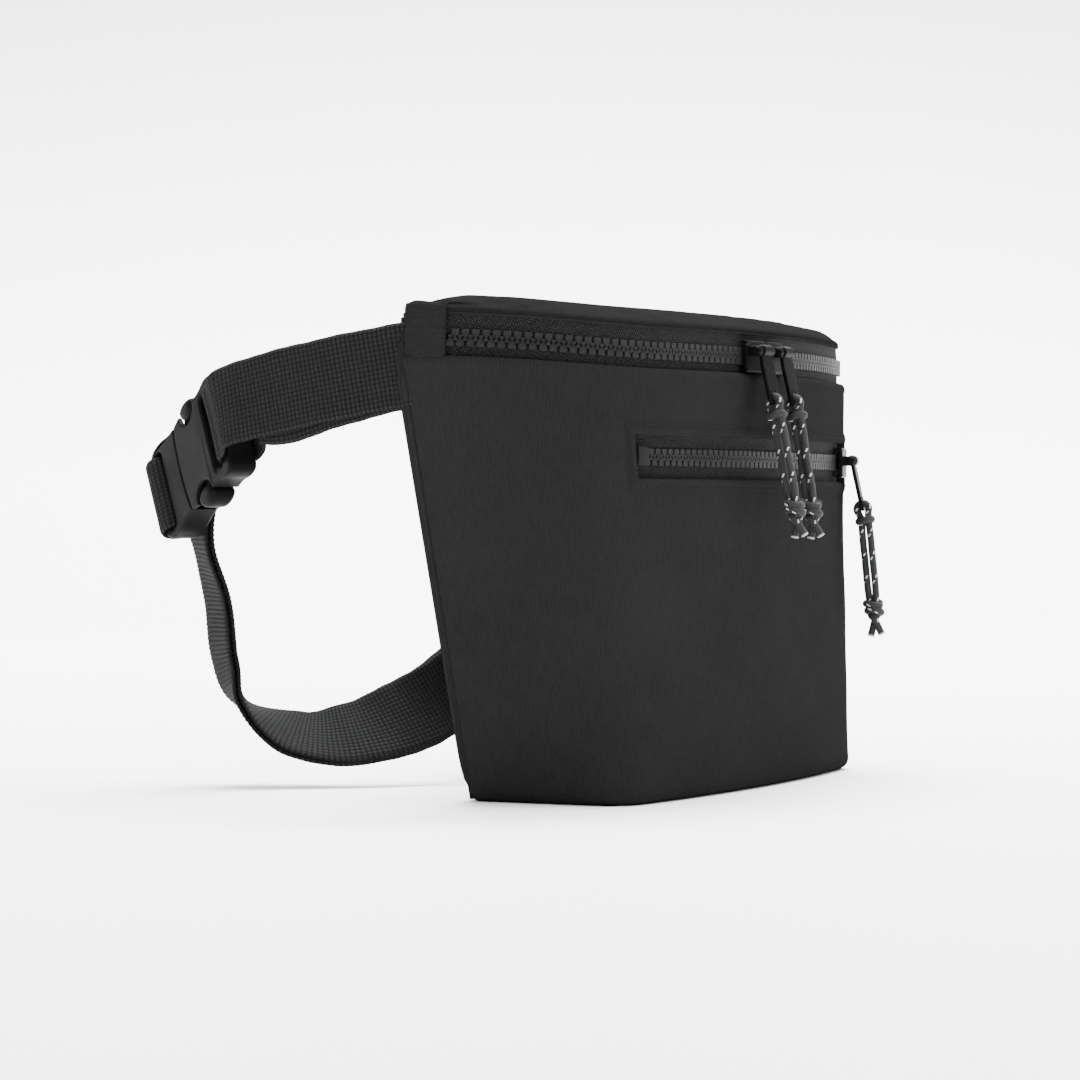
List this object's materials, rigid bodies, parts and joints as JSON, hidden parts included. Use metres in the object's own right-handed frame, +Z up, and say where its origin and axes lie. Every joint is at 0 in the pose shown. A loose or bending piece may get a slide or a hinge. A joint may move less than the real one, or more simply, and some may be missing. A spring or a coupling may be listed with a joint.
{
  "type": "hip bag",
  "caption": "Small structured hip bag with a wrap-around zipped top, a zipped front pocket, cord zip pulls and a webbing waist belt with a side-release buckle",
  "frame": {"origin": "middle of the bag's flat bottom, on the surface it stands on", "axes": "+X along the bag's width towards its right end seen from the front, -Y out of the front with the pocket, +Z up"},
  "size_m": [0.2457, 0.2052, 0.1516],
  "materials": {
    "body_fabric": "matte black fabric with a fine vertical rib",
    "top_fabric": "matte black fabric with a faint diagonal weave",
    "zip_tape": "dark blue-grey speckled twill tape",
    "lining": "plain black lining",
    "zip_teeth": "satin dark grey moulded plastic",
    "pull_metal": "satin black painted metal",
    "pull_cord": "black braided cord with pairs of pale flecks",
    "webbing": "black coarse-ribbed webbing",
    "buckle_plastic": "smooth satin black moulded plastic"
  },
  "bodies": {
    "root": {"body_panel": "body_fabric", "base_panel": "body_fabric", "back_panel": "body_fabric", "left_end_tab_lower": "body_fabric", "right_end_tab_lower": "body_fabric", "main_tape_lower": "zip_tape", "main_teeth_lower": "zip_teeth", "pocket_welt": "body_fabric", "pocket_tape_lower": "zip_tape", "pocket_tape_upper": "zip_tape", "pocket_teeth_lower": "zip_teeth", "pocket_teeth_upper": "zip_teeth", "pocket_stop_left": "zip_teeth", "pocket_stop_right": "zip_teeth", "pocket_bag": "lining", "left_webbing_outer": "webbing", "left_webbing_inner": "webbing", "female_buckle": "buckle_plastic", "waist_webbing_outer": "webbing", "waist_webbing_inner": "webbing"},
    "top_flap": {"top_panel": "top_fabric", "main_tape_upper": "zip_tape", "main_teeth_upper": "zip_teeth", "left_end_tab_upper": "body_fabric", "right_end_tab_upper": "body_fabric"},
    "left_slider": {"left_slider": "pull_metal"},
    "left_pull": {"left_pull_tab": "pull_metal"},
    "left_cord": {"left_pull_cord": "pull_cord", "left_pull_knot": "pull_cord"},
    "right_slider": {"right_slider": "pull_metal"},
    "right_pull": {"right_pull_tab": "pull_metal"},
    "right_cord": {"right_pull_cord": "pull_cord", "right_pull_knot": "pull_cord"},
    "pocket_slider": {"pocket_slider": "pull_metal"},
    "pocket_pull": {"pocket_pull_tab": "pull_metal"},
    "pocket_cord": {"pocket_pull_cord": "pull_cord", "pocket_pull_knot": "pull_cord"},
    "male_buckle": {"male_buckle": "buckle_plastic", "male_webbing_loop": "webbing"},
    "prong_lower": {"prong_lower": "buckle_plastic"},
    "prong_upper": {"prong_upper": "buckle_plastic"}
  },
  "joints": [
    {"name": "top_flap_hinge", "type": "hinge", "parent": "root", "child": "top_flap", "pos_m": [0, 0.0403, 0.1473], "axis": [-1, 0, 0], "range_deg": [0, 95]},
    {"name": "left_slider_run", "type": "hinge", "parent": "root", "child": "left_slider", "pos_m": [0, 0.25, 0.1363], "axis": [0, 0, -1], "range_deg": [0, 8.5]},
    {"name": "right_slider_run", "type": "hinge", "parent": "root", "child": "right_slider", "pos_m": [0, 0.25, 0.1363], "axis": [0, 0, 1], "range_deg": [0, 15.5]},
    {"name": "pocket_slider_run", "type": "hinge", "parent": "root", "child": "pocket_slider", "pos_m": [0, 0.2852, 0.1043], "axis": [0, 0, -1], "range_deg": [0, 23.5]},
    {"name": "left_tab_swing", "type": "hinge", "parent": "left_slider", "child": "left_pull", "pos_m": [-0.02582, -0.03895, 0.138], "axis": [-0.996, 0.089, 0], "range_deg": [0, 100]},
    {"name": "left_cord_swing", "type": "hinge", "parent": "left_pull", "child": "left_cord", "pos_m": [-0.02613, -0.04241, 0.12166], "axis": [-0.996, 0.089, 0], "range_deg": [0, 60]},
    {"name": "right_tab_swing", "type": "hinge", "parent": "right_slider", "child": "right_pull", "pos_m": [-0.0114, -0.03988, 0.138], "axis": [-0.9992, 0.0393, 0], "range_deg": [0, 100]},
    {"name": "right_cord_swing", "type": "hinge", "parent": "right_pull", "child": "right_cord", "pos_m": [-0.01153, -0.04335, 0.12166], "axis": [-0.9992, 0.0393, 0], "range_deg": [0, 60]},
    {"name": "pocket_tab_swing", "type": "hinge", "parent": "pocket_slider", "child": "pocket_pull", "pos_m": [0.07451, -0.03003, 0.105], "axis": [-0.9693, -0.2458, 0], "range_deg": [0, 100]},
    {"name": "pocket_cord_swing", "type": "hinge", "parent": "pocket_pull", "child": "pocket_cord", "pos_m": [0.07537, -0.0334, 0.08866], "axis": [-0.9693, -0.2458, 0], "range_deg": [0, 60]},
    {"name": "buckle_release", "type": "slide", "parent": "root", "child": "male_buckle", "axis": [0.5052, 0.7282, -0.4631], "range_m": [0, 0.03], "deforming": ["waist_webbing_outer", "waist_webbing_inner"]},
    {"name": "prong_lower_flex", "type": "hinge", "parent": "male_buckle", "child": "prong_lower", "pos_m": [-0.09538, 0.12306, 0.09235], "axis": [-0.8272, 0.5616, -0.0191], "range_deg": [0, 7], "stiffness_Nm_per_rad": 0.05},
    {"name": "prong_upper_flex", "type": "hinge", "parent": "male_buckle", "child": "prong_upper", "pos_m": [-0.09046, 0.13092, 0.11007], "axis": [0.8272, -0.5616, 0.0191], "range_deg": [0, 7], "stiffness_Nm_per_rad": 0.05}
  ]
}
